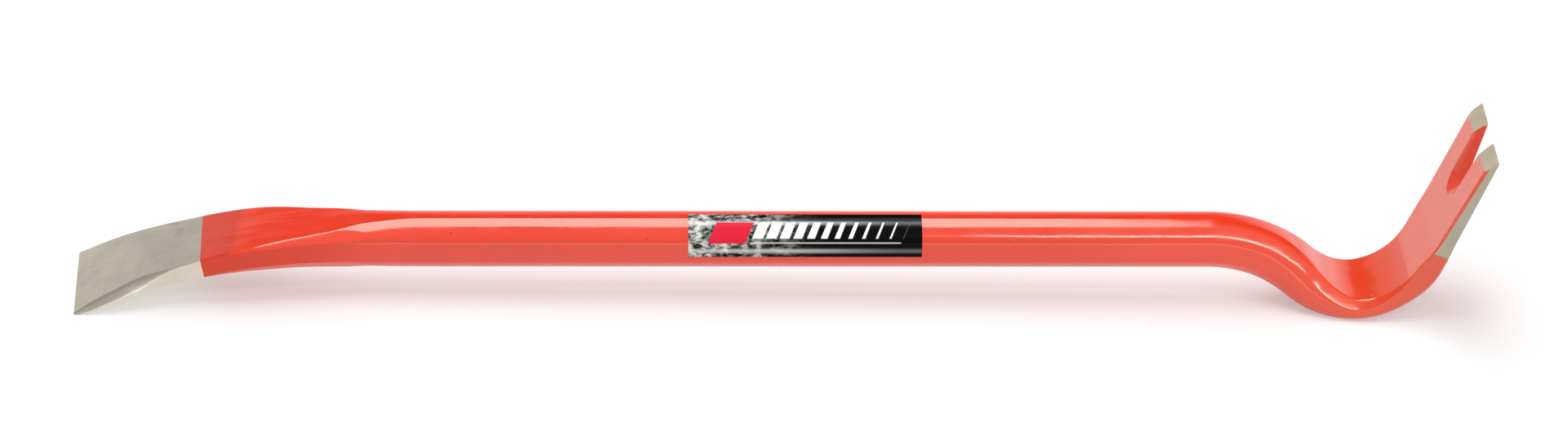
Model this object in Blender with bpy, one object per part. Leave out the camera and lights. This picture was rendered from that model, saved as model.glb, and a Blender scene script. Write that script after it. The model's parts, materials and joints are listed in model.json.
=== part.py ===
"""Wrecking bar, 600 mm long, at rest on its heel and its blade.

One octagonal steel bar is forged at one end into a flat curved chisel blade and at the other into
a goose-neck hook with a slotted claw. A red paint coat covers it but for the ground ends, and a
printed label is wrapped round the middle of the grip. Nothing on it moves.

Metres, +Z up, +X from the blade to the claw. The origin is under the middle of the bar, on the
surface that it lies on.
"""

import math
from bisect import bisect_right
from collections import namedtuple
from itertools import pairwise

import bmesh
import bpy
from mathutils import Matrix, Vector

# Bar stock and overall size, over the paint
OVERALL_LENGTH = 0.600
ACROSS_FLATS = 0.0232
OCTAGON_CHAMFER = ACROSS_FLATS * (1 - math.sqrt(0.5))
CORNER_RADIUS = 0.0065

# Centreline, from the blade's cutting edge to the claw's
BLADE_TIP_RUN = 0.0065
BLADE_BEND_RADIUS = 0.196
BLADE_BEND = math.radians(26.5)
NECK_RADIUS = 0.0596
NECK_BEND = math.radians(40.5)
NECK_RUN = 0.0029
HOOK_RADIUS = 0.0335
CLAW_RISE = math.radians(68.1)
CLAW_RUN = 0.0601

# Forged sections: width across the bar, thickness, and the bevels along the upper and lower edges
Station = namedtuple("Station", "run width thickness upper_bevel lower_bevel")
FULL_BAR = (ACROSS_FLATS, ACROSS_FLATS, OCTAGON_CHAMFER, OCTAGON_CHAMFER)
BLADE_STATIONS = (
    Station(0.000, 0.0526, 0.0030, 0.0004, 0.0004),
    Station(0.019, 0.0488, 0.0043, 0.0004, 0.0004),
    Station(0.033, 0.0438, 0.0061, 0.0004, 0.0004),
    Station(0.052, 0.0393, 0.0080, 0.0005, 0.0005),
    Station(0.080, 0.0367, 0.0128, 0.0017, 0.0034),
    Station(0.105, 0.0292, 0.0170, 0.0030, 0.0050),
    Station(0.125, 0.0250, 0.0211, 0.0052, 0.0063),
    Station(0.150, *FULL_BAR),
)
# Runs of the claw's sections are from the start of the neck
CLAW_STATIONS = (
    Station(0.000, *FULL_BAR),
    Station(0.025, 0.0249, 0.0219, 0.0066, 0.0066),
    Station(0.050, 0.0345, 0.0168, 0.0056, 0.0051),
    Station(0.073, 0.0415, 0.0083, 0.0032, 0.0016),
    Station(0.090, 0.0401, 0.0097, 0.0015, 0.0024),
    Station(0.105, 0.0412, 0.0106, 0.0007, 0.0018),
    Station(0.118, 0.0482, 0.0075, 0.0007, 0.0010),
    Station(0.126, 0.0493, 0.0064, 0.0007, 0.0009),
    Station(0.148, 0.0523, 0.0050, 0.0009, 0.0008),
    Station(0.171, 0.0554, 0.0036, 0.0010, 0.0008),
)

# Paint coat, thicker than real paint, and the clearance between touching pieces
COAT_THICKNESS = 0.00025
GAP = 0.0003
STEEL_INSET = COAT_THICKNESS + GAP
BLADE_BARE_RUN = 0.0572
CLAW_BARE_RUN = 0.0012

# Nail slot: a round root with straight sides that spread towards the tips, in two depths
SlotOutline = namedtuple("SlotOutline", "root_centre root_radius spread")
SLOT_ON_BACK = SlotOutline(root_centre=0.0364, root_radius=0.0018, spread=math.radians(15.6))
SLOT_ON_FACE = SlotOutline(root_centre=0.0356, root_radius=0.0080, spread=math.radians(6.0))
SLOT_LAND = 0.0006
# A wall of a given thickness is this much wider where it is measured along the face
SLOT_SLOPE_ALLOWANCE = 1.5

# Ground faces of the claw and the blade
CLAW_BEVEL_RUN = 0.0064
EDGE_LAND = 0.0004
SIDE_GRIND_START = 0.0088
SIDE_GRIND_HALF_WIDTH = 0.0236
SIDE_GRIND_FLARE = math.radians(3.2)

# Blocks that cut those faces: along, across and deep
CLAW_BEVEL_BLOCK = (0.030, 0.080, 0.012)
SIDE_GRIND_BLOCK = (0.062, 0.030, 0.006)
BLADE_BEVEL_BLOCK = (0.020, 0.080, 0.010)

# Label: a film wrapped over two and a half flats of the grip
LABEL_START = 0.2593
LABEL_LENGTH = 0.0995
LABEL_FILM = 0.0003
LABEL_TOP_EDGE = 0.0003
LABEL_LOWER_EDGE = -0.0038

# Mesh fineness
OUTER_CORNER_POINTS = 3
INNER_CORNER_POINTS = 2
LABEL_CORNER_POINTS = 6
CORNER_SHARE = 0.45
BEND_STEP = 0.0033
BLADE_STEP = 0.0075
SHAFT_STEP = 0.045
CLEAR_STEP = 0.0008
ROOT_POINTS = 9
WALL_STEPS = 3
SMOOTH_ANGLE = math.radians(20)
TILT_PASSES = 6
CUTTER_MARGIN = 0.0020

# Colours are linear
Finish = namedtuple("Finish", "colour roughness metallic")
GROUND_STEEL = Finish((0.47, 0.44, 0.39), 0.38, 1.0)
RED_PAINT = Finish((0.72, 0.055, 0.035), 0.28, 0.0)
BLACK_FILM = Finish((0.012, 0.012, 0.013), 0.22, 0.0)


def clear_scene():
    """Start from an empty scene."""
    for existing in list(bpy.data.objects):
        bpy.data.objects.remove(existing, do_unlink=True)


def make_material(name, finish):
    """A Principled material in one finish."""
    material = bpy.data.materials.new(name)
    material.use_nodes = True
    shader = material.node_tree.nodes["Principled BSDF"]
    shader.inputs["Base Color"].default_value = (*finish.colour, 1.0)
    shader.inputs["Roughness"].default_value = finish.roughness
    shader.inputs["Metallic"].default_value = finish.metallic
    return material


def centreline_legs(shaft_run):
    """Each leg of the centreline as its length and the angle that it turns upwards."""
    hook_turn = NECK_BEND + CLAW_RISE
    return (
        (BLADE_TIP_RUN, 0.0),
        (BLADE_BEND_RADIUS * BLADE_BEND, -BLADE_BEND),
        (shaft_run, 0.0),
        (NECK_RADIUS * NECK_BEND, -NECK_BEND),
        (NECK_RUN, 0.0),
        (HOOK_RADIUS * hook_turn, hook_turn),
        (CLAW_RUN, 0.0),
    )


def walk(legs, run):
    """The place (x, z) and heading after a run from the blade's cutting edge."""
    x, z, heading = 0.0, 0.0, BLADE_BEND
    last = len(legs) - 1
    for index, (length, turn) in enumerate(legs):
        part = run if index == last else min(run, length)
        if turn:
            radius = length / turn
            swept = part / radius
            x += radius * (math.sin(heading + swept) - math.sin(heading))
            z -= radius * (math.cos(heading + swept) - math.cos(heading))
            heading += swept
        else:
            x += part * math.cos(heading)
            z += part * math.sin(heading)
        run -= part
        if run <= 0.0:
            break
    return x, z, heading


def fitted_shaft_run():
    """The straight length that brings the whole bar to its overall length."""
    bends = centreline_legs(0.0)
    bends_reach = walk(bends, sum(length for length, _ in bends))[0]
    back_reach = CLAW_STATIONS[-1].thickness / 2 * math.sin(CLAW_RISE)
    return OVERALL_LENGTH - bends_reach - back_reach


SHAFT_RUN = fitted_shaft_run()
LEGS = centreline_legs(SHAFT_RUN)
TOTAL_RUN = sum(length for length, _ in LEGS)
CLAW_START = TOTAL_RUN - CLAW_RUN
BLADE_RUN = BLADE_TIP_RUN + BLADE_BEND_RADIUS * BLADE_BEND
NECK_START = BLADE_RUN + SHAFT_RUN
STATIONS = BLADE_STATIONS + tuple(s._replace(run=s.run + NECK_START) for s in CLAW_STATIONS)


def smooth_profile(runs, values):
    """A monotone cubic through the values, so a size never overshoots its neighbours."""
    steps = [after - before for before, after in pairwise(runs)]
    rises = [(after - before) / step for (before, after), step in zip(pairwise(values), steps)]
    slopes = [rises[0]]
    for left, right in pairwise(rises):
        slopes.append(2 * left * right / (left + right) if left * right > 0 else 0.0)
    slopes.append(rises[-1])

    def value(run):
        index = min(max(bisect_right(runs, run) - 1, 0), len(steps) - 1)
        step = steps[index]
        t = min(max((run - runs[index]) / step, 0.0), 1.0)
        rise = values[index + 1] - values[index]
        bow = step * (1 - t) * slopes[index] - step * t * slopes[index + 1] + rise * (2 * t - 1)
        return values[index] + t * rise + t * (1 - t) * bow

    return value


PROFILES = [
    smooth_profile([s.run for s in STATIONS], [s[field] for s in STATIONS]) for field in range(1, 5)
]


def octagon(width, thickness, upper_bevel, lower_bevel, inset=0.0):
    """The section's eight corners (y, z), moved inwards by the inset."""
    shrink = inset * (2 - math.sqrt(2))
    half, rise = width / 2 - inset, thickness / 2 - inset
    upper = max(upper_bevel - shrink, upper_bevel / 3)
    lower = max(lower_bevel - shrink, lower_bevel / 3)
    return [
        Vector(corner) for corner in (
            (-half, lower - rise), (-half, rise - upper), (upper - half, rise), (half - upper, rise),
            (half, rise - upper), (half, lower - rise), (half - lower, -rise), (lower - half, -rise),
        )
    ]


def rounded_corner(before, corner, after, radius, points):
    """The arc that replaces one corner, as wide as its two sides allow."""
    back, ahead = (before - corner), (after - corner)
    turn = math.pi - back.angle(ahead)
    reach = min(radius * math.tan(turn / 2), CORNER_SHARE * min(back.length, ahead.length))
    back.normalize()
    ahead.normalize()
    centre = corner + (back + ahead).normalized() * reach / math.sin(turn / 2)
    start, end = corner + back * reach - centre, corner + ahead * reach - centre
    arc = start.angle_signed(end)
    return [
        centre + Matrix.Rotation(-arc * step / (points - 1), 2) @ start for step in range(points)
    ]


def section(run, inset, corner_points):
    """The closed outline (y, z) of the bar at a run."""
    corners = octagon(*(profile(run) for profile in PROFILES), inset)
    radius = CORNER_RADIUS - inset
    outline = []
    for index, corner in enumerate(corners):
        neighbours = corners[index - 1], corners[(index + 1) % len(corners)]
        outline += rounded_corner(neighbours[0], corner, neighbours[1], radius, corner_points)
    return outline


def ring(run, inset, corner_points):
    """The outline at a run, stood square to the centreline."""
    x, z, heading = walk(LEGS, run)
    across = Vector((-math.sin(heading), 0.0, math.cos(heading)))
    place = Vector((x, 0.0, z))
    return [place + Vector((0.0, y, 0.0)) + across * v for y, v in section(run, inset, corner_points)]


def spaced(start, end, step):
    """Runs from start up to but not with end, about one step apart."""
    count = max(1, round((end - start) / step))
    return [start + (end - start) * index / count for index in range(count)]


def runs_between(start, end):
    """Runs of the rings: close together in the bends and on the tapers, far apart on the shaft."""
    blade_end = BLADE_STATIONS[-1].run
    stretches = (
        (0.0, blade_end, BLADE_STEP),
        (blade_end, NECK_START, SHAFT_STEP),
        (NECK_START, CLAW_START, BEND_STEP),
        (CLAW_START, TOTAL_RUN + CUTTER_MARGIN, 2 * BEND_STEP),
    )
    inner = [run for stretch in stretches for run in spaced(*stretch)]
    return [start] + [run for run in inner if start + CLEAR_STEP < run < end - CLEAR_STEP] + [end]


def loft(rings):
    """A closed solid through a row of rings with the same number of points."""
    bm = bmesh.new()
    loops = [[bm.verts.new(point) for point in points] for points in rings]
    for near, far in pairwise(loops):
        for index in range(len(near)):
            bm.faces.new((near[index - 1], near[index], far[index], far[index - 1]))
    for end in (loops[0], loops[-1]):
        bm.faces.new(end)
    bmesh.ops.recalc_face_normals(bm, faces=bm.faces)
    return bm


def add_object(name, bm, parent):
    """An object from a finished bmesh, parented to an empty and shaded smooth."""
    mesh = bpy.data.meshes.new(name)
    bm.to_mesh(mesh)
    bm.free()
    mesh.shade_smooth()
    mesh.set_sharp_from_angle(angle=SMOOTH_ANGLE)
    placed = bpy.data.objects.new(name, mesh)
    placed.parent = parent
    bpy.context.scene.collection.objects.link(placed)
    return placed


def add_empty(name, parent=None):
    """An empty that carries a frame of reference."""
    empty = bpy.data.objects.new(name, None)
    empty.parent = parent
    bpy.context.scene.collection.objects.link(empty)
    return empty


def as_cutter(placed):
    """Keep an object out of the render: it only cuts others."""
    placed.hide_render = True
    placed.display_type = "WIRE"
    return placed


def cut(placed, *cutters):
    """Cut an object with each cutter in turn."""
    for cutter in cutters:
        modifier = placed.modifiers.new(cutter.name, "BOOLEAN")
        modifier.operation = "DIFFERENCE"
        modifier.solver = "EXACT"
        modifier.object = cutter
    return placed


def blade_bevel_height():
    """Height of the flat that is ground under the blade's cutting edge."""
    heading = walk(LEGS, 0.0)[2]
    return BLADE_STATIONS[0].thickness / 2 * math.cos(heading) - EDGE_LAND


def outer_points():
    """Points all over the bar's outside, with the blade's tip cut back to its ground flat."""
    flat_end = BLADE_BEVEL_BLOCK[0] - CUTTER_MARGIN
    points = []
    for run in runs_between(0.0, TOTAL_RUN):
        for point in ring(run, 0.0, OUTER_CORNER_POINTS):
            if point.x < flat_end:
                point.z = max(point.z, blade_bevel_height())
            points.append(point)
    return points


def resting_place():
    """The tilt that lays the bar on its heel and its blade, and the move to its origin."""
    points = outer_points()
    middle = OVERALL_LENGTH / 2
    tilt = 0.0
    for _ in range(TILT_PASSES):
        turn = Matrix.Rotation(tilt, 3, "Y")
        turned = [turn @ point for point in points]
        blade = min((p for p in turned if p.x < middle), key=lambda p: p.z)
        heel = min((p for p in turned if p.x >= middle), key=lambda p: p.z)
        tilt += math.atan2(heel.z - blade.z, heel.x - blade.x)
    low_end, high_end = min(p.x for p in turned), max(p.x for p in turned)
    return tilt, Vector((-(low_end + high_end) / 2, 0.0, -blade.z))


def add_frames():
    """The frame that lays the bar down, and the claw's own frame, along its straight run."""
    tilt, place = resting_place()
    rest = add_empty("rest_frame")
    rest.rotation_euler = (0.0, tilt, 0.0)
    rest.location = place
    x, z, _ = walk(LEGS, CLAW_START)
    claw = add_empty("claw_frame", rest)
    claw.location = (x, 0.0, z)
    claw.rotation_euler = (0.0, -CLAW_RISE, 0.0)
    return rest, claw


def slot_outline(shape, grow, end):
    """Points (along, across) round a slot that is open at its far end."""
    radius = shape.root_radius + grow
    half_turn = math.pi / 2 - shape.spread
    root = []
    for step in range(ROOT_POINTS):
        angle = math.pi + half_turn * (2 * step / (ROOT_POINTS - 1) - 1)
        root.append((shape.root_centre + radius * math.cos(angle), radius * math.sin(angle)))
    start_along, start_across = root[0]
    rise = (end - start_along) * math.tan(shape.spread)
    shares = [step / WALL_STEPS for step in range(WALL_STEPS, 0, -1)]
    side = [(start_along + (end - start_along) * s, start_across + rise * s) for s in shares]
    return side + root + [(along, -across) for along, across in reversed(side)]


def claw_thickness(along):
    """Thickness of the claw at a run from its frame."""
    return PROFILES[1](CLAW_START + along)


def slot_cutter(name, grow, claw):
    """The nail slot: straight for a thin land at the back, then opening towards the inner face."""
    end = CLAW_RUN + 2 * CUTTER_MARGIN
    back = slot_outline(SLOT_ON_BACK, grow, end)
    face = slot_outline(SLOT_ON_FACE, grow, end)
    face_level = claw_thickness(SLOT_ON_FACE.root_centre) / 2
    land_level = SLOT_LAND - face_level
    past = face_level + 2 * CUTTER_MARGIN
    wall = [land_level + (face_level - land_level) * s / WALL_STEPS for s in range(WALL_STEPS + 1)]
    rings = []
    for level in (-past, *wall, past):
        share = max(0.0, (level - land_level) / (face_level - land_level))
        rings.append([
            Vector((b[0] + (f[0] - b[0]) * share, b[1] + (f[1] - b[1]) * share, level))
            for b, f in zip(back, face)
        ])
    return as_cutter(add_object(name, loft(rings), claw))


def block_cutter(name, size, parent):
    """A block with its origin in the middle of its lower face."""
    bm = bmesh.new()
    bmesh.ops.create_cube(bm, size=1.0)
    bmesh.ops.translate(bm, verts=bm.verts, vec=(0.0, 0.0, 0.5))
    bmesh.ops.scale(bm, verts=bm.verts, vec=size)
    return as_cutter(add_object(name, bm, parent))


def claw_bevel_cutter(claw):
    """Everything above the slanting flat that is ground across the tips on their inner side."""
    base, tip = CLAW_RUN - CLAW_BEVEL_RUN, CLAW_RUN
    base_level = claw_thickness(base) / 2
    tip_level = EDGE_LAND - claw_thickness(tip) / 2
    cutter = block_cutter("claw_bevel_cutter", CLAW_BEVEL_BLOCK, claw)
    cutter.location = ((base + tip) / 2, 0.0, (base_level + tip_level) / 2)
    cutter.rotation_euler = (0.0, math.atan2(base_level - tip_level, tip - base), 0.0)
    return cutter


def side_grind_cutter(side, claw):
    """What is ground off one flank of the claw, from a small ledge to the tip."""
    cutter = block_cutter(f"side_grind_cutter_{'far' if side > 0 else 'near'}", SIDE_GRIND_BLOCK, claw)
    flare = Matrix.Rotation(side * SIDE_GRIND_FLARE, 4, "Z")
    lay = Matrix.Rotation(-side * math.pi / 2, 4, "X")
    start = Vector((SIDE_GRIND_START, side * SIDE_GRIND_HALF_WIDTH, 0.0))
    forward = flare @ Vector((SIDE_GRIND_BLOCK[0] / 2, 0.0, 0.0))
    cutter.matrix_local = Matrix.Translation(start + forward) @ flare @ lay
    return cutter


def blade_bevel_cutter(rest):
    """Everything below the flat that is ground under the blade's cutting edge."""
    length, _, depth = BLADE_BEVEL_BLOCK
    cutter = block_cutter("blade_bevel_cutter", BLADE_BEVEL_BLOCK, rest)
    cutter.location = (length / 2 - CUTTER_MARGIN, 0.0, blade_bevel_height() - depth)
    return cutter


def forged_steel_bar(rest, grinding, blade_bevel, slot):
    """The one-piece forging, sunk under the coat and full size where it is bare."""
    coat_start, coat_end = BLADE_BARE_RUN - GAP, TOTAL_RUN - CLAW_BARE_RUN + GAP
    rings = [ring(run, 0.0, INNER_CORNER_POINTS) for run in runs_between(0.0, coat_start)]
    rings += [ring(run, STEEL_INSET, INNER_CORNER_POINTS) for run in runs_between(coat_start, coat_end)]
    rings += [ring(run, 0.0, INNER_CORNER_POINTS) for run in (coat_end, TOTAL_RUN)]
    bar = add_object("forged_steel_bar", loft(rings), rest)
    bar.data.materials.append(make_material("ground_steel", GROUND_STEEL))
    return cut(bar, slot, blade_bevel, *grinding)


def red_paint_coat(rest, grinding, slot, inner_slot):
    """The paint as a shell, open at the blade and wherever the claw was ground after painting."""
    start, end = BLADE_BARE_RUN, TOTAL_RUN - CLAW_BARE_RUN
    outer = [ring(run, 0.0, OUTER_CORNER_POINTS) for run in runs_between(start, end)]
    inner_runs = runs_between(start - CUTTER_MARGIN, TOTAL_RUN + CUTTER_MARGIN)
    inner = [ring(run, COAT_THICKNESS, INNER_CORNER_POINTS) for run in inner_runs]
    hollow = as_cutter(add_object("coat_hollow_cutter", loft(inner), rest))
    cut(hollow, inner_slot)
    coat = add_object("red_paint_coat", loft(outer), rest)
    coat.data.materials.append(make_material("red_paint", RED_PAINT))
    return cut(coat, slot, hollow, *grinding)


def label_profile(lift):
    """The label's cross line (y, z) at a height over the paint, from its lower edge to its top one."""
    corners = octagon(*FULL_BAR, -lift)
    radius = CORNER_RADIUS + lift
    near, upper = (
        rounded_corner(corners[i - 1], corners[i], corners[i + 1], radius, LABEL_CORNER_POINTS)
        for i in (1, 2)
    )
    lower_edge = Vector((corners[1].x, LABEL_LOWER_EDGE))
    top_edge = Vector((LABEL_TOP_EDGE, corners[2].y))
    return [lower_edge, *near, *upper, top_edge]


def printed_label(rest):
    """The printed film, wrapped over the top, the upper front and the front flats."""
    x, z, _ = walk(LEGS, NECK_START)
    outline = label_profile(GAP) + label_profile(GAP + LABEL_FILM)[::-1]
    bm = bmesh.new()
    face = bm.faces.new([bm.verts.new((LABEL_START, y, z + v)) for y, v in outline])
    wall = bmesh.ops.extrude_face_region(bm, geom=[face])
    far_end = [item for item in wall["geom"] if isinstance(item, bmesh.types.BMVert)]
    bmesh.ops.translate(bm, verts=far_end, vec=(LABEL_LENGTH, 0.0, 0.0))
    bmesh.ops.recalc_face_normals(bm, faces=bm.faces)
    label = add_object("printed_label", bm, rest)
    label.data.materials.append(make_material("black_film", BLACK_FILM))
    return label


def main():
    clear_scene()
    rest, claw = add_frames()
    coat_wall = COAT_THICKNESS * SLOT_SLOPE_ALLOWANCE
    steel_wall = STEEL_INSET * SLOT_SLOPE_ALLOWANCE
    slots = [
        slot_cutter(name, grow, claw) for name, grow in (
            ("slot_cutter", 0.0), ("coat_slot_cutter", coat_wall), ("steel_slot_cutter", steel_wall),
        )
    ]
    grinding = [claw_bevel_cutter(claw), side_grind_cutter(-1, claw), side_grind_cutter(1, claw)]
    forged_steel_bar(rest, grinding, blade_bevel_cutter(rest), slots[2])
    red_paint_coat(rest, grinding, slots[0], slots[1])
    printed_label(rest)


main()
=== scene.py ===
"""Looks of a 600 mm wrecking bar: ground steel ends, a glossy red paint coat and a printed label.

Laid out as an add-on and run as a script. Metres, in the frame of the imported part: +X along the bar
from the blade to the claw, +Z up, the origin under the middle of the bar.
"""

import json
from bisect import bisect_right
from collections import namedtuple
from functools import reduce
from itertools import pairwise
from math import atan2, cos, dist, pi, radians, sin, sqrt, tan

import bmesh
import bpy
from bpy.props import FloatProperty, FloatVectorProperty, PointerProperty
from mathutils import Matrix, Vector


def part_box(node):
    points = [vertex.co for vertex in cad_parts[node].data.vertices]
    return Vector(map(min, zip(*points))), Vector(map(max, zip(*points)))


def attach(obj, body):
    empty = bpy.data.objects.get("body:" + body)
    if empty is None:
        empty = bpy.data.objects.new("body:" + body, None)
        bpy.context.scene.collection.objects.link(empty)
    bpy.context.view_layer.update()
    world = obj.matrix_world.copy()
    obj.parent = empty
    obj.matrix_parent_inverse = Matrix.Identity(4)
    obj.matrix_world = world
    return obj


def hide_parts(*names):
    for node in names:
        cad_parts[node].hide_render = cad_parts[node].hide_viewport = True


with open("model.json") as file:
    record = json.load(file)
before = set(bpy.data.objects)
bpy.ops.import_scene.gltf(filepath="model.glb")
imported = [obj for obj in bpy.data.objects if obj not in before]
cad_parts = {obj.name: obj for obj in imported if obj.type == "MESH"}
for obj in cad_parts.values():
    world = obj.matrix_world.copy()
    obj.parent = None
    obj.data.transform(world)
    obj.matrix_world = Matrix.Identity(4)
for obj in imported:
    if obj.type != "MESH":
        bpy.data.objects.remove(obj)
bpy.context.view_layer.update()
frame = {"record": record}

bl_info = {
    "name": "Wrecking Bar",
    "version": (1, 0, 0),
    "blender": (4, 5, 0),
    "location": "View3D > Sidebar > Wrecking Bar",
    "description": "Builds a forged wrecking bar with its paint, its label and a plain studio",
    "category": "Add Mesh",
}

ROOT_BODY = "root"

# Centreline, from the blade's cutting edge to the claw's: runs, radii and turns
BLADE_TIP_RUN = 0.0065
BLADE_BEND_RADIUS = 0.196
BLADE_BEND = radians(26.5)
NECK_RADIUS = 0.0596
NECK_BEND = radians(40.5)
NECK_RUN = 0.0029
HOOK_RADIUS = 0.0335
CLAW_RISE = radians(68.1)
CLAW_RUN = 0.0601

# Forged sections: width across the bar, thickness, and the bevels along the upper and lower edges
Station = namedtuple("Station", "run width thickness upper_bevel lower_bevel")
BLADE_STATIONS = [Station(*sizes) for sizes in (
    (0.000, 0.0526, 0.0030, 0.0004, 0.0004),
    (0.019, 0.0488, 0.0043, 0.0004, 0.0004),
    (0.033, 0.0438, 0.0061, 0.0004, 0.0004),
    (0.052, 0.0393, 0.0080, 0.0005, 0.0005),
    (0.080, 0.0367, 0.0128, 0.0017, 0.0034),
    (0.105, 0.0292, 0.0170, 0.0030, 0.0050),
    (0.125, 0.0250, 0.0211, 0.0052, 0.0063),
)]
BLADE_END_RUN = 0.150
# The blade's near upper edge is ground back a little further: runs and bevels on top of the forged one
NEAR_BEVEL_RUNS = (0.000, 0.009, 0.021, 0.031, 0.039, 0.046)
NEAR_BEVELS = (0.0006, 0.0018, 0.0023, 0.0021, 0.0009, 0.000)
# Runs of the claw's sections are from the start of the neck
CLAW_STATIONS = [Station(*sizes) for sizes in (
    (0.025, 0.0249, 0.0219, 0.0066, 0.0066),
    (0.050, 0.0345, 0.0168, 0.0056, 0.0051),
    (0.073, 0.0415, 0.0083, 0.0032, 0.0016),
    (0.090, 0.0401, 0.0097, 0.0015, 0.0024),
    (0.105, 0.0412, 0.0106, 0.0007, 0.0018),
    (0.118, 0.0482, 0.0075, 0.0012, 0.0010),
    (0.126, 0.0493, 0.0064, 0.0014, 0.0009),
    (0.171, 0.0554, 0.0036, 0.0025, 0.0008),
)]
FLAT_CLAW_RUN = CLAW_STATIONS[-2].run

# Corners: rolled round on the stock, soft at the blade's edge, crisp at its shoulder and on the claw
BLADE_CORNER_RUNS = (0.000, 0.040, 0.058, 0.114, 0.126)
BLADE_CORNERS = (0.0040, 0.0035, 0.0010, 0.0010, 0.0065)
CLAW_CORNER_RUNS = (0.040, 0.066)
CLAW_CORNERS = (0.0065, 0.0012)

# Where the paint stops
BLADE_BARE_RUN = 0.0572
CLAW_BARE_RUN = 0.0012

# Nail slot: a round root with straight sides that spread towards the tips, in two depths
SlotOutline = namedtuple("SlotOutline", "root_centre root_radius spread")
SLOT_ON_BACK = SlotOutline(0.0364, 0.0018, radians(15.6))
SLOT_ON_FACE = SlotOutline(0.0356, 0.0080, radians(6.0))
SLOT_LAND = 0.0006

# Ground faces, and the blocks that cut them: along, across and deep
CLAW_BEVEL_RUN = 0.0064
EDGE_LAND = 0.0004
SIDE_GRIND_START = 0.0088
SIDE_GRIND_HALF_WIDTH = 0.0236
SIDE_GRIND_FLARE = radians(3.2)
CLAW_BEVEL_BLOCK = (0.030, 0.080, 0.012)
SIDE_GRIND_BLOCK = (0.062, 0.030, 0.006)
BLADE_BEVEL_BLOCK = (0.020, 0.080, 0.010)
CUTTER_MARGIN = 0.0020
SORTING_SLACK = CUTTER_MARGIN / 4

# Label, from its end nearest the blade
LABEL_START = 0.2593
LABEL_TOP_EDGE = 0.0003
LABEL_LOWER_EDGE = -0.0038
LABEL_SIDES = 3

# Mesh fineness
SIDE_POINTS = 5
CORNER_POINTS = 5
CORNER_SHARE = 0.45
SIDE_TO_CROWN = 30
BLADE_STEP = 0.0030
SHAFT_STEP = 0.0300
BEND_STEP = 0.0015
ROOT_POINTS = 25
WALL_STEPS = 6
SHARP_ANGLE = radians(24)
SHARP_LABEL_ANGLE = radians(40)
FLAT_ANGLE = radians(0.3)
FLAT_NORMAL_WEIGHT = 60
ROUNDING_SEGMENTS = 4
WELD_DISTANCE = 1e-6
CHART_DIGITS = 7
# The steel lies this many coats deep under the paint, so that the two never touch
SINK_SHARE = 1.2

# Faces are sorted by these material slots
PAINTED, GROUND, SLOT_WALL = 0, 1, 2
# Numbers that faces carry: painted shade on the flanks and in the nail slot. Flanks face sideways
STEEL_FLANK_SHADE, PAINT_FLANK_SHADE, SLOT_SHADE = "steel_flank_shade", "paint_flank_shade", "slot_shade"
FLANK_FACING = 0.97
PAINT_FLANK_SHADE_FACING = (0.78, 0.95)
# The blade's steel flanks are ground finer and get less painted shade than the claw's
BLADE_FLANK_SHADE = 0.42

# The camera, as found from the picture's outline: a long lens, a little off square
CAMERA_AIM = Vector((0.000532, 0.0, 0.038448))
CAMERA_DISTANCE = 2.8480
CAMERA_BEARING = radians(3.7504)
CAMERA_RISE = radians(29.8939)
CAMERA_ROLL = radians(2.5447)
CAMERA_LENS = 153.59


class BarSizes(bpy.types.PropertyGroup):
    """The bar's driving sizes."""

    overall_length: FloatProperty(
        name="Overall length", description="Length of the bar before it is laid down",
        default=0.600, unit="LENGTH")
    across_flats: FloatProperty(
        name="Across flats", description="Width of the octagonal bar stock, over the paint",
        default=0.0232, unit="LENGTH")
    corner_radius: FloatProperty(
        name="Corner radius", description="Rounding of the rolled corners of the stock",
        default=0.0065, unit="LENGTH")
    crown: FloatProperty(
        name="Crown", description="How far the middle of each flat stands above its ends",
        default=0.00004, unit="LENGTH", precision=5)
    slot_rounding: FloatProperty(
        name="Slot rounding", description="Softness of the painted edges of the nail slot",
        default=0.0005, unit="LENGTH", precision=5)
    paint_thickness: FloatProperty(
        name="Paint thickness", description="Thickness of the paint coat",
        default=0.00010, unit="LENGTH", precision=5)
    label_length: FloatProperty(
        name="Label length", description="Length of the printed label along the grip",
        default=0.0995, unit="LENGTH")
    label_thickness: FloatProperty(
        name="Label thickness", description="Thickness of the label's film",
        default=0.00014, unit="LENGTH", precision=5)


class BarFinishes(bpy.types.PropertyGroup):
    """Colours and glosses of the bar."""

    paint_colour: FloatVectorProperty(
        name="Paint", description="Colour of the paint", subtype="COLOR",
        min=0.0, max=1.0, default=(0.835, 0.041, 0.012))
    paint_roughness: FloatProperty(
        name="Paint roughness", description="Roughness of the paint's surface",
        default=0.10, min=0.0, max=1.0, subtype="FACTOR")
    steel_colour: FloatVectorProperty(
        name="Steel", description="Colour of the ground steel", subtype="COLOR",
        min=0.0, max=1.0, default=(0.86, 0.775, 0.635))
    steel_roughness: FloatProperty(
        name="Steel roughness", description="Roughness of the ground steel",
        default=0.36, min=0.0, max=1.0, subtype="FACTOR")
    film_colour: FloatVectorProperty(
        name="Label ground", description="Colour of the label's ground", subtype="COLOR",
        min=0.0, max=1.0, default=(0.003, 0.003, 0.003))
    stone_colour: FloatVectorProperty(
        name="Label stone", description="Colour of the label's stone pattern", subtype="COLOR",
        min=0.0, max=1.0, default=(0.74, 0.76, 0.68))
    bar_and_highlight_colour: FloatVectorProperty(
        name="Label bars", description="Colour of the label's light bars", subtype="COLOR",
        min=0.0, max=1.0, default=(0.86, 0.86, 0.86))
    block_colour: FloatVectorProperty(
        name="Label block", description="Colour of the label's red block", subtype="COLOR",
        min=0.0, max=1.0, default=(0.72, 0.02, 0.045))
    film_roughness: FloatProperty(
        name="Film roughness", description="Roughness of the label's film",
        default=0.16, min=0.0, max=1.0, subtype="FACTOR")


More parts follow.
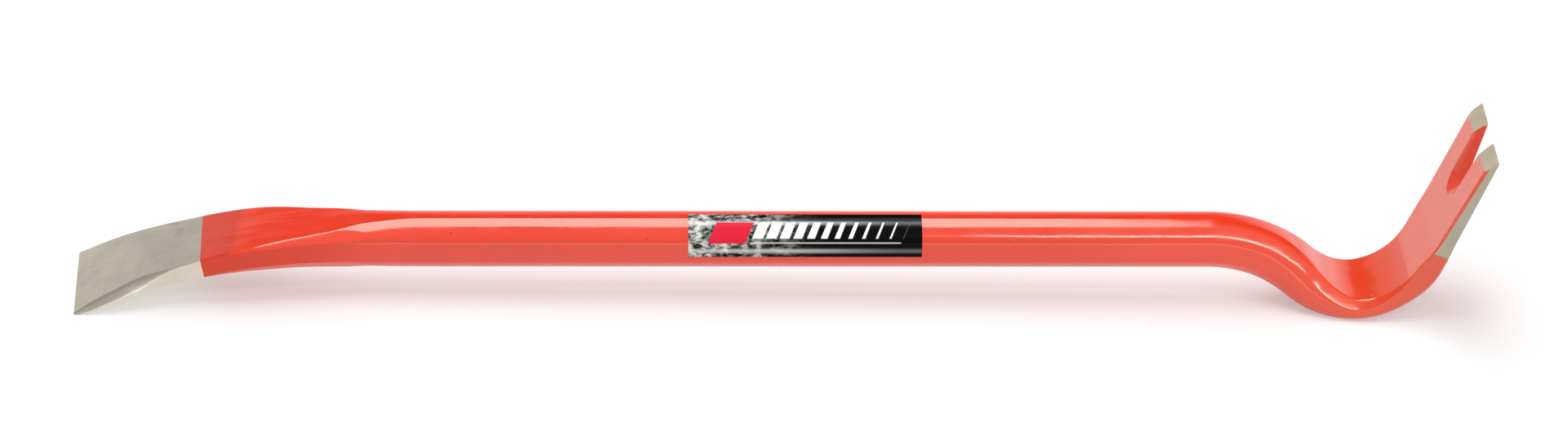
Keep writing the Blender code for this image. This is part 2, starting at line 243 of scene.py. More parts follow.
class StudioSettings(bpy.types.PropertyGroup):
    """The floor and the lamps."""

    overhead_power: FloatProperty(
        name="Overhead softbox", description="Power of the large softbox over the bar",
        default=25.0, min=0.0, unit="POWER")
    front_power: FloatProperty(
        name="Front strip", description="Power of the strip light in front and to the right",
        default=4.4, min=0.0, unit="POWER")
    front_wall: FloatProperty(
        name="Front wall", description="How light the room is in front of the bar",
        default=0.62, min=0.0, max=1.0, subtype="FACTOR")
    ceiling: FloatProperty(
        name="Ceiling", description="How light the room is over and behind the backdrop",
        default=0.06, min=0.0, max=1.0, subtype="FACTOR")
    floor_colour: FloatVectorProperty(
        name="Floor", description="Colour of the floor", subtype="COLOR",
        min=0.0, max=1.0, default=(0.85, 0.85, 0.85))


def smooth_profile(runs, values):
    """A monotone cubic through the values, so a size never overshoots its neighbours."""
    steps = [after - before for before, after in pairwise(runs)]
    rises = [(after - before) / step for (before, after), step in zip(pairwise(values), steps)]
    slopes = [rises[0]]
    for left, right in pairwise(rises):
        slopes.append(2 * left * right / (left + right) if left * right > 0 else 0.0)
    slopes.append(rises[-1])

    def value(run):
        index = min(max(bisect_right(runs, run) - 1, 0), len(steps) - 1)
        step = steps[index]
        t = min(max((run - runs[index]) / step, 0.0), 1.0)
        rise = values[index + 1] - values[index]
        bow = step * (1 - t) * slopes[index] - step * t * slopes[index + 1] + rise * (2 * t - 1)
        return values[index] + t * rise + t * (1 - t) * bow

    return value


def cross(a, b):
    """The signed area that two plane vectors span."""
    return a.x * b.y - a.y * b.x


class BarShape:
    """The bar's centreline and sections, in the frame of its shaft."""

    def __init__(self, sizes):
        self.sizes = sizes
        stock = sizes.across_flats
        chamfer = stock * (1 - sqrt(0.5))
        full = (stock, stock, chamfer, chamfer)
        self.legs = self.legs_with(0.0)
        bends_reach = self.walk(sum(length for length, _ in self.legs))[0]
        back_reach = CLAW_STATIONS[-1].thickness / 2 * sin(CLAW_RISE)
        self.legs = self.legs_with(sizes.overall_length - bends_reach - back_reach)
        self.total_run = sum(length for length, _ in self.legs)
        self.neck_start = self.legs[0][0] + self.legs[1][0] + self.legs[2][0]
        self.claw_start = self.total_run - CLAW_RUN
        self.flat_claw_start = self.neck_start + FLAT_CLAW_RUN
        claw = [s._replace(run=s.run + self.neck_start) for s in CLAW_STATIONS]
        grip = [Station(run, *full) for run in (BLADE_END_RUN, self.neck_start)]
        stations = BLADE_STATIONS + grip + claw
        runs = [s.run for s in stations]
        self.profiles = [smooth_profile(runs, [s[field] for s in stations]) for field in range(1, 5)]
        self.near_bevel = smooth_profile(NEAR_BEVEL_RUNS, NEAR_BEVELS)
        self.blade_corner = smooth_profile(BLADE_CORNER_RUNS, BLADE_CORNERS)
        self.claw_corner = smooth_profile(CLAW_CORNER_RUNS, CLAW_CORNERS)

    @staticmethod
    def legs_with(shaft_run):
        """Each leg of the centreline as its length and the angle that it turns upwards."""
        hook_turn = NECK_BEND + CLAW_RISE
        return (
            (BLADE_TIP_RUN, 0.0),
            (BLADE_BEND_RADIUS * BLADE_BEND, -BLADE_BEND),
            (shaft_run, 0.0),
            (NECK_RADIUS * NECK_BEND, -NECK_BEND),
            (NECK_RUN, 0.0),
            (HOOK_RADIUS * hook_turn, hook_turn),
            (CLAW_RUN, 0.0),
        )

    def walk(self, run):
        """The place (x, z) and heading after a run from the blade's cutting edge."""
        x, z, heading = 0.0, 0.0, BLADE_BEND
        last = len(self.legs) - 1
        for index, (length, turn) in enumerate(self.legs):
            part = run if index == last else min(run, length)
            if turn:
                radius = length / turn
                swept = part / radius
                x += radius * (sin(heading + swept) - sin(heading))
                z -= radius * (cos(heading + swept) - cos(heading))
                heading += swept
            else:
                x += part * cos(heading)
                z += part * sin(heading)
            run -= part
            if run <= 0.0:
                break
        return x, z, heading

    def size(self, field, run):
        """Width, thickness or a bevel at a run: straight tapers along the flat claw."""
        if run <= self.flat_claw_start:
            return self.profiles[field](run)
        start, end = CLAW_STATIONS[-2:]
        share = (run - self.flat_claw_start) / (end.run - start.run)
        return start[field + 1] + share * (end[field + 1] - start[field + 1])

    def corners(self, run):
        """The section's eight corners (y, z)."""
        width, thickness, upper, lower = (self.size(field, run) for field in range(4))
        half, rise = width / 2, thickness / 2
        near = upper + self.near_bevel(run)
        return [
            Vector(corner) for corner in (
                (-half, lower - rise), (-half, rise - near), (near - half, rise), (half - upper, rise),
                (half, rise - upper), (half, lower - rise), (half - lower, -rise), (lower - half, -rise),
            )
        ]

    def corner_radius(self, run):
        """As rolled along the grip, and smaller on the blade and the claw."""
        blade, claw = self.blade_corner(run), self.claw_corner(run - self.neck_start)
        return min(self.sizes.corner_radius, blade, claw)

    def outline(self, run):
        """The closed outline (y, z) at a run: eight crowned sides joined by rounded corners."""
        corners = self.corners(run)
        radius = self.corner_radius(run)
        fade = min(1.0, max(0.0, (self.flat_claw_start - run) / (self.flat_claw_start - self.claw_start)))
        sides = []
        reaches = []
        for index, corner in enumerate(corners):
            back, ahead = corners[index - 1] - corner, corners[(index + 1) % 8] - corner
            turn = pi - back.angle(ahead)
            limit = CORNER_SHARE * min(back.length, ahead.length)
            reaches.append(min(radius * tan(turn / 2), limit))
        for index, corner in enumerate(corners):
            far = corners[(index + 1) % 8]
            along = (far - corner).normalized()
            start, end = corner + along * reaches[index], far - along * reaches[(index + 1) % 8]
            flat = (end - start).length
            crown = min(self.sizes.crown, flat / SIDE_TO_CROWN) * fade
            outward = Vector((-along.y, along.x))
            middle = (start + end) / 2
            points = []
            for step in range(SIDE_POINTS):
                s = 2 * step / (SIDE_POINTS - 1) - 1
                points.append(middle + along * (s * flat / 2) - outward * (crown * s * s))
            slope = outward * (4 * crown / flat)
            sides.append((points, (along + slope).normalized(), (along - slope).normalized()))
        outline = []
        for (points, _, leaving), (following, entering, _) in zip(sides, sides[1:] + sides[:1]):
            outline += points
            start, end = points[-1], following[0]
            reach = cross(end - start, entering) / cross(leaving, entering)
            apex = start + leaving * reach
            for step in range(1, CORNER_POINTS + 1):
                t = step / (CORNER_POINTS + 1)
                outline.append(start * (1 - t) ** 2 + apex * (2 * t * (1 - t)) + end * t * t)
        return outline

    def frame_at(self, run):
        """The matrix that takes (0, y, v) of a section to its place along the bar."""
        x, z, heading = self.walk(run)
        return Matrix.Translation((x, 0.0, z)) @ Matrix.Rotation(-heading, 4, "Y")

    def ring(self, run):
        """The outline at a run, stood square to the centreline."""
        place = self.frame_at(run)
        return [place @ Vector((0.0, y, v)) for y, v in self.outline(run)]

    def runs(self):
        """Runs of the rings: close together in the bends, far apart where the bar is straight."""
        stops = (0.0, BLADE_BARE_RUN, BLADE_END_RUN, self.neck_start, self.flat_claw_start)
        steps = (BLADE_STEP, BLADE_STEP, SHAFT_STEP, BEND_STEP)
        stretches = zip(pairwise(stops), steps)
        rings = [run for (start, end), step in stretches for run in spaced(start, end, step)]
        return [*rings, self.flat_claw_start, self.total_run]

    def claw_frame(self):
        """The claw's own frame, along its straight run, with +Z out of its inner face."""
        return self.frame_at(self.claw_start)

    def resting_matrix(self):
        """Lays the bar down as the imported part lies: same tilt, same outer box."""
        mount = next(m for m in frame["record"]["mounts"] if m["name"] == "grip_under_flat")
        tilt = atan2(-mount["axis"][0], -mount["axis"][2])
        turn = Matrix.Rotation(tilt, 4, "Y")
        turned = [turn @ point for run in self.runs() for point in self.ring(run)]
        low_end, high_end = min(p.x for p in turned), max(p.x for p in turned)
        heel = min(p.z for p in turned if p.x > (low_end + high_end) / 2)
        low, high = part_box("forged_steel_bar")
        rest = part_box("red_paint_coat")[0].z
        return Matrix.Translation(((low.x + high.x - low_end - high_end) / 2, 0.0, rest - heel)) @ turn


def spaced(start, end, step):
    """Runs from start up to but not with end, about one step apart."""
    count = max(1, round((end - start) / step))
    return [start + (end - start) * index / count for index in range(count)]


def loft(rings):
    """A closed solid through a row of rings with the same number of points."""
    bm = bmesh.new()
    loops = []
    for points in rings:
        circle = bmesh.ops.create_circle(bm, segments=len(points), radius=1.0)["verts"]
        for vert, point in zip(circle, points):
            vert.co = point
        loops.append([bm.edges.get(pair) for pair in zip(circle, circle[1:] + circle[:1])])
    for near, far in pairwise(loops):
        bmesh.ops.bridge_loops(bm, edges=near + far)
    for end in (loops[0], loops[-1]):
        bmesh.ops.contextual_create(bm, geom=end)
    bmesh.ops.recalc_face_normals(bm, faces=bm.faces)
    return bm


def placed(name, data):
    """An object in the scene, from its data."""
    made = bpy.data.objects.new(name, data)
    bpy.context.scene.collection.objects.link(made)
    return made


def object_from(bm, name, materials):
    """An object at the origin from a finished bmesh."""
    mesh = bpy.data.meshes.new(name)
    bm.to_mesh(mesh)
    bm.free()
    for material in materials:
        mesh.materials.append(material)
    return placed(name, mesh)


def cut_with(bm, cutters, materials):
    """The bmesh after each cutter is taken out of it. The cutters' faces keep their slots."""
    target = object_from(bm, "cut_target", materials)
    tools = [object_from(cutter, f"cutter_{index}", materials) for index, cutter in enumerate(cutters)]
    for tool in tools:
        modifier = target.modifiers.new(tool.name, "BOOLEAN")
        modifier.operation = "DIFFERENCE"
        modifier.solver = "EXACT"
        modifier.object = tool
    result = bmesh.new()
    result.from_object(target, bpy.context.evaluated_depsgraph_get())
    for used in (target, *tools):
        mesh = used.data
        bpy.data.objects.remove(used)
        bpy.data.meshes.remove(mesh)
    return result


def slot_outline(shape, end):
    """Points (along, across) round a slot that is open at its far end."""
    half_turn, radius = pi / 2 - shape.spread, shape.root_radius
    angles = [pi + half_turn * (2 * step / (ROOT_POINTS - 1) - 1) for step in range(ROOT_POINTS)]
    root = [(shape.root_centre + radius * cos(angle), radius * sin(angle)) for angle in angles]
    start_along, start_across = root[0]
    rise = (end - start_along) * tan(shape.spread)
    shares = [step / WALL_STEPS for step in range(WALL_STEPS, 0, -1)]
    side = [(start_along + (end - start_along) * s, start_across + rise * s) for s in shares]
    return side + root + [(along, -across) for along, across in reversed(side)]


def slot_cutter(shape):
    """The nail slot: straight for a thin land at the back, then opening towards the inner face."""
    end = CLAW_RUN + 2 * CUTTER_MARGIN
    back, face = slot_outline(SLOT_ON_BACK, end), slot_outline(SLOT_ON_FACE, end)
    face_level = shape.size(1, shape.claw_start + SLOT_ON_FACE.root_centre) / 2
    land_level = SLOT_LAND - face_level
    past = face_level + 2 * CUTTER_MARGIN
    wall = [land_level + (face_level - land_level) * s / WALL_STEPS for s in range(WALL_STEPS + 1)]
    rings = []
    for level in (-past, *wall, past):
        share = max(0.0, (level - land_level) / (face_level - land_level))
        rings.append([
            Vector((b[0] + (f[0] - b[0]) * share, b[1] + (f[1] - b[1]) * share, level))
            for b, f in zip(back, face)
        ])
    bm = loft(rings)
    for face in bm.faces:
        face.material_index = SLOT_WALL
    bm.transform(shape.claw_frame())
    return bm


def ground_block(size, matrix):
    """A block that grinds a flat: it stands on the middle of its lower face."""
    bm = bmesh.new()
    bmesh.ops.create_cube(bm, size=1.0)
    bmesh.ops.translate(bm, verts=bm.verts, vec=(0.0, 0.0, 0.5))
    bmesh.ops.scale(bm, verts=bm.verts, vec=size)
    bm.transform(matrix)
    for face in bm.faces:
        face.material_index = GROUND
    return bm


def claw_bevel_block(shape):
    """Grinds the slanting flat across the tips, on their inner side."""
    base = CLAW_RUN - CLAW_BEVEL_RUN
    base_level = shape.size(1, shape.claw_start + base) / 2
    tip_level = EDGE_LAND - shape.size(1, shape.total_run) / 2
    middle = Vector(((base + CLAW_RUN) / 2, 0.0, (base_level + tip_level) / 2))
    slant = Matrix.Rotation(atan2(base_level - tip_level, CLAW_BEVEL_RUN), 4, "Y")
    return ground_block(CLAW_BEVEL_BLOCK, shape.claw_frame() @ Matrix.Translation(middle) @ slant)


def side_grind_block(shape, side):
    """Grinds one flank of the claw, from a small ledge to the tip."""
    flare = Matrix.Rotation(side * SIDE_GRIND_FLARE, 4, "Z")
    lay = Matrix.Rotation(-side * pi / 2, 4, "X")
    start = Vector((SIDE_GRIND_START, side * SIDE_GRIND_HALF_WIDTH, 0.0))
    forward = flare @ Vector((SIDE_GRIND_BLOCK[0] / 2, 0.0, 0.0))
    place = Matrix.Translation(start + forward)
    return ground_block(SIDE_GRIND_BLOCK, shape.claw_frame() @ place @ flare @ lay)


def blade_bevel_block(shape):
    """Grinds the flat under the blade's cutting edge."""
    length, _, depth = BLADE_BEVEL_BLOCK
    level = BLADE_STATIONS[0].thickness / 2 * cos(BLADE_BEND) - EDGE_LAND
    place = Vector((length / 2 - CUTTER_MARGIN, 0.0, level - depth))
    return ground_block(BLADE_BEVEL_BLOCK, Matrix.Translation(place))


def merge_flat_claw(bm, shape, into_claw):
    """One face for each flat side of the straight claw, so that cuts and bevels stay clean."""
    limit = shape.flat_claw_start - shape.claw_start - SORTING_SLACK
    verts = [vert for vert in bm.verts if (into_claw @ vert.co).x > limit and vert.co.x > shape.neck_start]
    inside = set(verts)
    edges = [edge for edge in bm.edges if inside.issuperset(edge.verts)]
    bmesh.ops.dissolve_limit(bm, angle_limit=FLAT_ANGLE, verts=verts, edges=edges)


def round_slot_edges(bm, rounding):
    """Rounds the painted edges of the nail slot."""
    edges = [
        edge for edge in bm.edges
        if len(edge.link_faces) == 2
        and {face.material_index for face in edge.link_faces} == {PAINTED, SLOT_WALL}
    ]
    bevelled = bmesh.ops.bevel(
        bm, geom=edges, offset=rounding, offset_type="OFFSET", segments=ROUNDING_SEGMENTS, profile=0.5,
        affect="EDGES", clamp_overlap=True, material=-1,
    )
    for face in bevelled["faces"]:
        face.material_index = PAINTED


def cut_along(bm, place, normal, **settings):
    """Cuts a mesh's faces along a plane."""
    geom = bm.verts[:] + bm.edges[:] + bm.faces[:]
    bmesh.ops.bisect_plane(bm, geom=geom, plane_co=place, plane_no=normal, **settings)


def bare_claw_tips(bm, shape):
    """The last stretch of the tips is bare."""
    place = shape.claw_frame()
    point = place @ Vector((CLAW_RUN - CLAW_BARE_RUN, 0.0, 0.0))
    normal = place.to_3x3() @ Vector((1.0, 0.0, 0.0))
    cut_along(bm, point, normal)
    for face in bm.faces:
        if (face.calc_center_median() - point).dot(normal) > 0.0:
            face.material_index = GROUND


def finished_bar(shape, material):
    """The bar's outside as one closed bmesh in the shaft's frame, its faces sorted by finish."""
    materials = [material] * len((PAINTED, GROUND, SLOT_WALL))
    bm = loft([shape.ring(run) for run in shape.runs()])
    before_paint = shape.frame_at(BLADE_BARE_RUN).inverted()
    into_claw = shape.claw_frame().inverted()
    for face in bm.faces:
        middle = face.calc_center_median()
        at_end = (into_claw @ middle).x > CLAW_RUN - SORTING_SLACK
        if (before_paint @ middle).x < 0.0 or (at_end and middle.x > shape.neck_start):
            face.material_index = GROUND
    merge_flat_claw(bm, shape, into_claw)
    bm = cut_with(bm, [slot_cutter(shape)], materials)
    round_slot_edges(bm, shape.sizes.slot_rounding)
    flanks = [side_grind_block(shape, side) for side in (-1, 1)]
    bm = cut_with(bm, [blade_bevel_block(shape), claw_bevel_block(shape), *flanks], materials)
    bare_claw_tips(bm, shape)
    bmesh.ops.remove_doubles(bm, verts=bm.verts, dist=WELD_DISTANCE)
    return bm


def thicken(bm, thickness):
    """Gives an open sheet a thickness outwards, or inwards if it is negative."""
    bm.normal_update()
    bmesh.ops.solidify(bm, geom=bm.faces[:], thickness=-thickness)


def smooth(piece, angle):
    """Smooth shading with crisp edges, and flats that keep their own normals."""
    piece.data.shade_smooth()
    piece.data.set_sharp_from_angle(angle=angle)
    weighted = piece.modifiers.new("flat_normals", "WEIGHTED_NORMAL")
    weighted.keep_sharp = True
    weighted.weight = FLAT_NORMAL_WEIGHT


# The Mix node's sockets for a share and two colours, and for their mixture
MIX_INPUTS, MIX_OUTPUT = (0, 6, 7), 2


class Nodes:
    """Builds a node tree one short call at a time."""

    def __init__(self, owner):
        owner.use_nodes = True
        self.tree = owner.node_tree

    def add(self, kind, inputs=None, **settings):
        """A shader node with its settings and its inputs."""
        made = self.tree.nodes.new(kind)
        for name, value in settings.items():
            setattr(made, name, value)
        self.fill(made, inputs or {})
        return made

    def fill(self, node, inputs):
        """Sets a node's inputs to values, or links them to sockets."""
        for name, value in inputs.items():
            if isinstance(value, bpy.types.NodeSocket):
                self.tree.links.new(value, node.inputs[name])
            else:
                node.inputs[name].default_value = value

    def maths(self, operation, *values):
        """A Math node's result."""
        return self.add("ShaderNodeMath", dict(enumerate(values)), operation=operation).outputs[0]

    def product(self, *values):
        """Values multiplied in turn."""
        return reduce(lambda first, second: self.maths("MULTIPLY", first, second), values)

    def noise(self, vector, grain):
        """Grey noise over a vector, stretched where the grain's scale has three numbers."""
        scale = grain.scale
        if isinstance(scale, tuple):
            mapping = self.add("ShaderNodeMapping", {"Vector": vector, "Scale": scale})
            vector, scale = mapping.outputs["Vector"], 1.0
        inputs = {"Vector": vector, "Scale": scale, "Detail": grain.detail, "Roughness": grain.roughness}
        return self.add("ShaderNodeTexNoise", inputs).outputs["Fac"]

    def ramp(self, value, low, high, from_value=0.0, to_value=1.0):
        """A smooth step between two limits."""
        inputs = dict(enumerate((value, low, high, from_value, to_value)))
        return self.add("ShaderNodeMapRange", inputs, interpolation_type="SMOOTHSTEP").outputs["Result"]

    def mix(self, share, first, second, blend="MIX"):
        """Two colours mixed by a share."""
        inputs = dict(zip(MIX_INPUTS, (share, first, second)))
        made = self.add("ShaderNodeMix", inputs, data_type="RGBA", blend_type=blend)
        return made.outputs[MIX_OUTPUT]

    def bumps(self, *layers):
        """Bumps over one another, each a height and how deep it goes."""
        normal = {}
        for height, distance in layers:
            made = self.add("ShaderNodeBump", {"Height": height, "Distance": distance, **normal})
            normal = {"Normal": made.outputs["Normal"]}
        return made.outputs["Normal"]

    def coordinates(self, name):
        """A socket of Texture Coordinate."""
        return self.add("ShaderNodeTexCoord").outputs[name]

    def parts(self, vector):
        """The X, Y and Z of a vector."""
        return self.add("ShaderNodeSeparateXYZ", {"Vector": vector}).outputs

    def attribute(self, name):
        """A number that the faces carry."""
        return self.add("ShaderNodeAttribute", attribute_name=name).outputs["Fac"]


def new_material(name):
    """An empty material, its node builder and its Principled shader."""
    material = bpy.data.materials.new(name)
    nodes = Nodes(material)
    return material, nodes, nodes.tree.nodes["Principled BSDF"]


def opaque(colour, factor=1.0):
    """A property's colour as four numbers, lighter or darker by a factor."""
    return (*(min(1.0, channel * factor) for channel in colour), 1.0)


Grain = namedtuple("Grain", "scale detail roughness", defaults=(2.0, 0.5))
# Noise is softened between these two levels
SOFT_LEVELS = (0.3, 0.7)

# The coat's mottling and relief
PAINT_DRIFT, DRIFT_SHADE = Grain(24.0, 3.0), 0.90
PINHOLES, PINHOLE_LEVELS = Grain(620.0, 1.0), (0.735, 0.80)
PINHOLE_SHADE, PINHOLE_COVER, PINHOLE_DEPTH = 0.25, 0.55, 0.00004
FORGING_WAVES, WAVE_HEIGHT = Grain((14.0, 90.0, 90.0)), 0.00016
ORANGE_PEEL, PEEL_HEIGHT = Grain(520.0), 0.000006
PAINT_HAZE = Grain(70.0, 3.0)
PAINT_GLOSS_DRIFT = (-0.03, 0.05)
PAINT_IOR = 1.75
PAINT_GLOSS_TINT = (1.0, 0.98, 0.87, 1.0)
# Next to the blade's bare end the coat is thinner and darker, and the darkening is partly painted shade
THIN_COAT_SHADE_SPAN, THIN_COAT_SHADE_SLANT, THIN_COAT_AND_PAINTED_SHADE = (-0.2335, -0.2297), 0.12, 0.77
# On the sideways flanks the coat gets the same painted shade, and its gloss is duller: most on the blade,
# a little along the grip
FLANK_SHADE_ON_BLADE = (-0.222, -0.165, 1.0, 0.35)
FLANK_SHADE_TO_NECK = (0.11, 0.17, 1.0, 0.0)
FULL_SPECULAR, DULL_SPECULAR = 0.5, 0.28
# In the nail slot the paint is darker and less saturated: painted shade
SLOT_SHADE_COLOUR = (0.71, 0.062, 0.030, 1.0)
# From the neck to the claw it turns more orange and darker; the darkening is painted shade
ORANGE_AND_SHADE_SPAN = (0.185, 0.275)
ORANGE_SHADED_COLOUR = (0.725, 0.056, 0.013, 1.0)


def red_paint(finishes):
    """Glossy paint: a slight orange peel, long waves from the forging, a few pinholes, and painted shade.
    """
    material, nodes, shader = new_material("red_paint_coat")
    paint, roughness = finishes.paint_colour, finishes.paint_roughness
    place = nodes.coordinates("Object")
    along, across, _ = nodes.parts(place)
    pinholes = nodes.ramp(nodes.noise(place, PINHOLES), *PINHOLE_LEVELS)
    colour = nodes.mix(nodes.noise(place, PAINT_DRIFT), opaque(paint), opaque(paint, DRIFT_SHADE))
    # Next to the blade's bare end the paint is darkened: a thinner coat, and painted shade
    thin = nodes.ramp(slanted(nodes, along, across, THIN_COAT_SHADE_SLANT), *THIN_COAT_SHADE_SPAN, 1.0, 0.0)
    on_blade, to_neck = nodes.ramp(along, *FLANK_SHADE_ON_BLADE), nodes.ramp(along, *FLANK_SHADE_TO_NECK)
    # Painted shade and duller gloss on the sideways flanks, most on the blade
    flank = nodes.product(nodes.attribute(PAINT_FLANK_SHADE), on_blade, to_neck)
    colour = nodes.mix(nodes.maths("MAXIMUM", thin, flank), colour, opaque(paint, THIN_COAT_AND_PAINTED_SHADE))
    # More orange towards the claw, and darker as painted shade
    colour = nodes.mix(nodes.ramp(along, *ORANGE_AND_SHADE_SPAN), colour, ORANGE_SHADED_COLOUR)
    # Painted shade on the walls of the nail slot
    colour = nodes.mix(nodes.attribute(SLOT_SHADE), colour, SLOT_SHADE_COLOUR)
    colour = nodes.mix(nodes.product(pinholes, PINHOLE_COVER), colour, opaque(paint, PINHOLE_SHADE))
    gloss = [roughness + change for change in PAINT_GLOSS_DRIFT]
    pitted = nodes.maths("SUBTRACT", 1.0, pinholes)
    waves, peel = nodes.noise(place, FORGING_WAVES), nodes.noise(place, ORANGE_PEEL)
    nodes.fill(shader, {
        "Base Color": colour,
        "Roughness": nodes.ramp(nodes.noise(place, PAINT_HAZE), *SOFT_LEVELS, *gloss),
        "Normal": nodes.bumps((waves, WAVE_HEIGHT), (peel, PEEL_HEIGHT), (pitted, PINHOLE_DEPTH)),
        "IOR": PAINT_IOR,
        "Specular IOR Level": nodes.ramp(flank, 0.0, 1.0, FULL_SPECULAR, DULL_SPECULAR),
        "Specular Tint": PAINT_GLOSS_TINT,
    })
    return material


# The steel's scratches, clouds and stains
SCRATCHES, SCRATCH_HEIGHT = Grain((2600.0, 60.0, 1500.0), 3.0, 0.6), 0.000006
STREAK_LEVELS, STREAK_COVER, STREAK_COLOUR = (0.35, 0.7), 0.12, (0.5, 0.45, 0.37, 1.0)
CLOUDS, CLOUD_HEIGHT = Grain(45.0, 4.0, 0.6), 0.00007
CLOUD_LIGHT, CLOUD_DARK = 1.06, 0.9
STAINS, STAIN_LEVELS = Grain(130.0, 5.0, 0.65), (0.56, 0.76)
STAIN_COVER, STAIN_COLOUR = 0.35, (0.36, 0.315, 0.235, 1.0)
STEEL_GLOSS_DRIFT = (-0.03, 0.04)
# The claw's steel is yellower from its tempering. Its flanks are ground coarser, and darker by painted
# shade
CLAW_SIDE, CLAW_TINT = (-0.05, 0.05), (0.95, 0.90, 0.81, 1.0)
STEEL_FLANK_SHADE_TINT = (0.50, 0.53, 0.56, 1.0)


def ground_steel(finishes):
    """Ground steel: fine scratches across the bar, cloudy heat tint, a soft sheen, and painted shade on
    the flanks.
    """
    material, nodes, shader = new_material("ground_steel_ends")
    steel, roughness = finishes.steel_colour, finishes.steel_roughness
    place = nodes.coordinates("Object")
    scratches = nodes.noise(place, SCRATCHES)
    clouds = nodes.noise(place, CLOUDS)
    stains = nodes.ramp(nodes.noise(place, STAINS), *STAIN_LEVELS)
    cloudy = nodes.ramp(clouds, *SOFT_LEVELS)
    colour = nodes.mix(cloudy, opaque(steel, CLOUD_LIGHT), opaque(steel, CLOUD_DARK))
    claw = nodes.ramp(nodes.parts(place)["X"], *CLAW_SIDE)
    colour = nodes.mix(claw, colour, CLAW_TINT, "MULTIPLY")
    # Painted shade on the steel's sideways flanks
    colour = nodes.mix(nodes.attribute(STEEL_FLANK_SHADE), colour, STEEL_FLANK_SHADE_TINT, "MULTIPLY")
    colour = nodes.mix(nodes.product(stains, STAIN_COVER), colour, STAIN_COLOUR)
    streaks = nodes.ramp(scratches, *STREAK_LEVELS)
    colour = nodes.mix(nodes.product(streaks, STREAK_COVER), colour, STREAK_COLOUR)
    gloss = [roughness + change for change in STEEL_GLOSS_DRIFT]
    nodes.fill(shader, {
        "Base Color": colour,
        "Roughness": nodes.ramp(scratches, *SOFT_LEVELS, *gloss),
        "Normal": nodes.bumps((scratches, SCRATCH_HEIGHT), (clouds, CLOUD_HEIGHT)),
        "Metallic": 1.0,
    })
    return material


def slanted(nodes, along, across, slant):
    """How far along a point is, measured on a slant."""
    return nodes.maths("SUBTRACT", along, nodes.product(across, slant))


# The print's chart runs from 0 to 1 along the label and across it. Bands are start, end and softness
STONE_GRAIN, STONE_LEVELS = Grain((260.0, 420.0, 420.0), 6.0, 0.72), (0.42, 0.62)
STONE_LUMPS, LUMP_LEVELS = Grain(120.0, 4.0, 0.6), (0.36, 0.56, 0.15, 1.0)
STONE_FADE, STONE_RAGGEDNESS = (0.28, 0.70, 1.0, 0.0), 0.25
# Two painted highlights along the folds, each at a level across the label and with a reach
PAINTED_FOLD_HIGHLIGHTS = ((0.73, 0.075), (0.14, 0.08))
PAINTED_HIGHLIGHT_FADE = (0.35, 0.95, 0.55, 0.14)
PRINT_SLANT = 0.09
BLOCK_BANDS = ((0.055, 0.215, 0.002), (0.30, 0.74, 0.012))
BAR_COUNT, BAR_WIDTHS, BAR_SOFTNESS = 17.0, (0.30, 0.92, 0.80, 0.12), 0.03
BAR_BANDS = ((0.2353, 0.8824, 0.0015), (0.40, 0.74, 0.012))
RULE_BANDS, RULE_COVER = ((0.235, 0.88, 0.004), (0.30, 0.325, 0.006)), 0.75
FILM_RIPPLE, RIPPLE_HEIGHT = Grain((60.0, 200.0, 200.0)), 0.00008
FILM_IOR = 1.13


def label_print(finishes):
    """Black glossy film with a stone pattern that fades out, slanted light bars, a red block and two
    painted highlights.
    """
    material, nodes, shader = new_material("label_print")
    along, across, _ = nodes.parts(nodes.coordinates("UV"))
    place = nodes.coordinates("Object")
    lumps = nodes.noise(place, STONE_LUMPS)
    ragged = nodes.maths("ADD", along, nodes.product(lumps, STONE_RAGGEDNESS))
    grain = nodes.ramp(nodes.noise(place, STONE_GRAIN), *STONE_LEVELS)
    stone = nodes.product(grain, nodes.ramp(lumps, *LUMP_LEVELS), nodes.ramp(ragged, *STONE_FADE))
    pale, light = opaque(finishes.stone_colour), opaque(finishes.bar_and_highlight_colour)
    colour = nodes.mix(stone, opaque(finishes.film_colour), pale)
    # Painted highlights along the label's folds, in the colour of the light bars
    highlight_fade = nodes.ramp(along, *PAINTED_HIGHLIGHT_FADE)
    for level, reach in PAINTED_FOLD_HIGHLIGHTS:
        off = nodes.maths("ABSOLUTE", nodes.maths("SUBTRACT", across, level))
        colour = nodes.mix(nodes.product(highlight_fade, nodes.ramp(off, 0.0, reach, 1.0, 0.0)), colour, light)
    lean = slanted(nodes, along, across, PRINT_SLANT)

    def patch(*bands):
        """One inside a slanted patch of the print and nothing outside it."""
        steps = []
        for value, (start, end, soft) in zip((lean, across), bands):
            steps.append(nodes.ramp(value, start - soft, start + soft))
            steps.append(nodes.ramp(value, end - soft, end + soft, 1.0, 0.0))
        return nodes.product(*steps)

    colour = nodes.mix(patch(*BLOCK_BANDS), colour, opaque(finishes.block_colour))
    teeth = nodes.maths("FRACT", nodes.product(lean, BAR_COUNT))
    past = nodes.maths("SUBTRACT", teeth, nodes.ramp(along, *BAR_WIDTHS))
    bars = nodes.product(nodes.ramp(past, -BAR_SOFTNESS, BAR_SOFTNESS, 1.0, 0.0), patch(*BAR_BANDS))
    colour = nodes.mix(bars, colour, light)
    colour = nodes.mix(nodes.product(patch(*RULE_BANDS), RULE_COVER), colour, pale)
    nodes.fill(shader, {
        "Base Color": colour,
        "Roughness": finishes.film_roughness,
        "Normal": nodes.bumps((nodes.noise(place, FILM_RIPPLE), RIPPLE_HEIGHT)),
        "IOR": FILM_IOR,
    })
    return material


